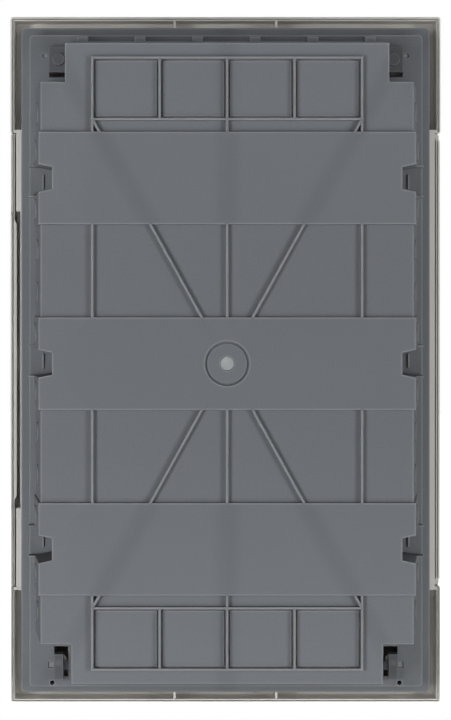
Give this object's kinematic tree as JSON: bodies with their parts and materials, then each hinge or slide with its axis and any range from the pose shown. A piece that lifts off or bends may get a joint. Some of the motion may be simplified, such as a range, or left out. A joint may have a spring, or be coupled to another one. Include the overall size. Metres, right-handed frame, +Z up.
{
  "type": "flush-mount distribution board",
  "caption": "Flush-mount distribution board: ribbed wall box, trim frame with a hinged door, row covers, mounting rails and terminal bars for modular devices.",
  "frame": {"origin": "centre fixing hole in the rear panel, at the floor of its dimple", "axes": "+X right seen from the front, +Y out of the back into the wall, +Z up"},
  "size_m": [0.3042, 0.094, 0.4854],
  "materials": {
    "tub_plastic": "fine spark texture",
    "trim_plastic": "satin",
    "door_plastic": "satin",
    "cover_plastic": "satin",
    "lock_plastic": "satin",
    "cap_plastic": "satin",
    "clip_plastic": "satin",
    "carrier_plastic": "satin",
    "rail_steel": "zinc plated",
    "zinc_steel": "zinc plated",
    "brass": "machined"
  },
  "bodies": {
    "board": {"back_box": "tub_plastic", "trim_frame": "trim_plastic", "terminal_carrier": "carrier_plastic", "neutral_bar": "brass", "earth_bar": "brass", "neutral_bar_screws": "zinc_steel", "earth_bar_screws": "zinc_steel", "carrier_screws": "zinc_steel", "rail_screws": "zinc_steel", "frame_screws": "zinc_steel", "frame_screw_caps": "cap_plastic", "upper_corner_clips": "clip_plastic", "lower_corner_clips": "clip_plastic", "cover_lower": "cover_plastic", "din_rail_lower": "rail_steel", "cover_middle": "cover_plastic", "din_rail_middle": "rail_steel", "cover_upper": "cover_plastic", "din_rail_upper": "rail_steel"},
    "door": {"door": "door_plastic"},
    "cover_lock_lower_left": {"cover_lock_lower_left": "lock_plastic"},
    "cover_lock_lower_right": {"cover_lock_lower_right": "lock_plastic"},
    "cover_lock_middle_left": {"cover_lock_middle_left": "lock_plastic"},
    "cover_lock_middle_right": {"cover_lock_middle_right": "lock_plastic"},
    "cover_lock_upper_left": {"cover_lock_upper_left": "lock_plastic"},
    "cover_lock_upper_right": {"cover_lock_upper_right": "lock_plastic"}
  },
  "joints": [
    {"name": "door_hinge", "type": "hinge", "parent": "board", "child": "door", "pos_m": [-0.1481, -0.0878, 0], "axis": [0, 0, -1], "range_deg": [0, 170]},
    {"name": "cover_lock_lower_left_turn", "type": "hinge", "parent": "board", "child": "cover_lock_lower_left", "pos_m": [-0.12068, -0.0668, -0.125], "axis": [0, 1, 0], "range_deg": [0, 90]},
    {"name": "cover_lock_lower_right_turn", "type": "hinge", "parent": "board", "child": "cover_lock_lower_right", "pos_m": [0.12068, -0.0668, -0.125], "axis": [0, 1, 0], "range_deg": [0, 90]},
    {"name": "cover_lock_middle_left_turn", "type": "hinge", "parent": "board", "child": "cover_lock_middle_left", "pos_m": [-0.12068, -0.0668, 0], "axis": [0, 1, 0], "range_deg": [0, 90]},
    {"name": "cover_lock_middle_right_turn", "type": "hinge", "parent": "board", "child": "cover_lock_middle_right", "pos_m": [0.12068, -0.0668, 0], "axis": [0, 1, 0], "range_deg": [0, 90]},
    {"name": "cover_lock_upper_left_turn", "type": "hinge", "parent": "board", "child": "cover_lock_upper_left", "pos_m": [-0.12068, -0.0668, 0.125], "axis": [0, 1, 0], "range_deg": [0, 90]},
    {"name": "cover_lock_upper_right_turn", "type": "hinge", "parent": "board", "child": "cover_lock_upper_right", "pos_m": [0.12068, -0.0668, 0.125], "axis": [0, 1, 0], "range_deg": [0, 90]}
  ]
}
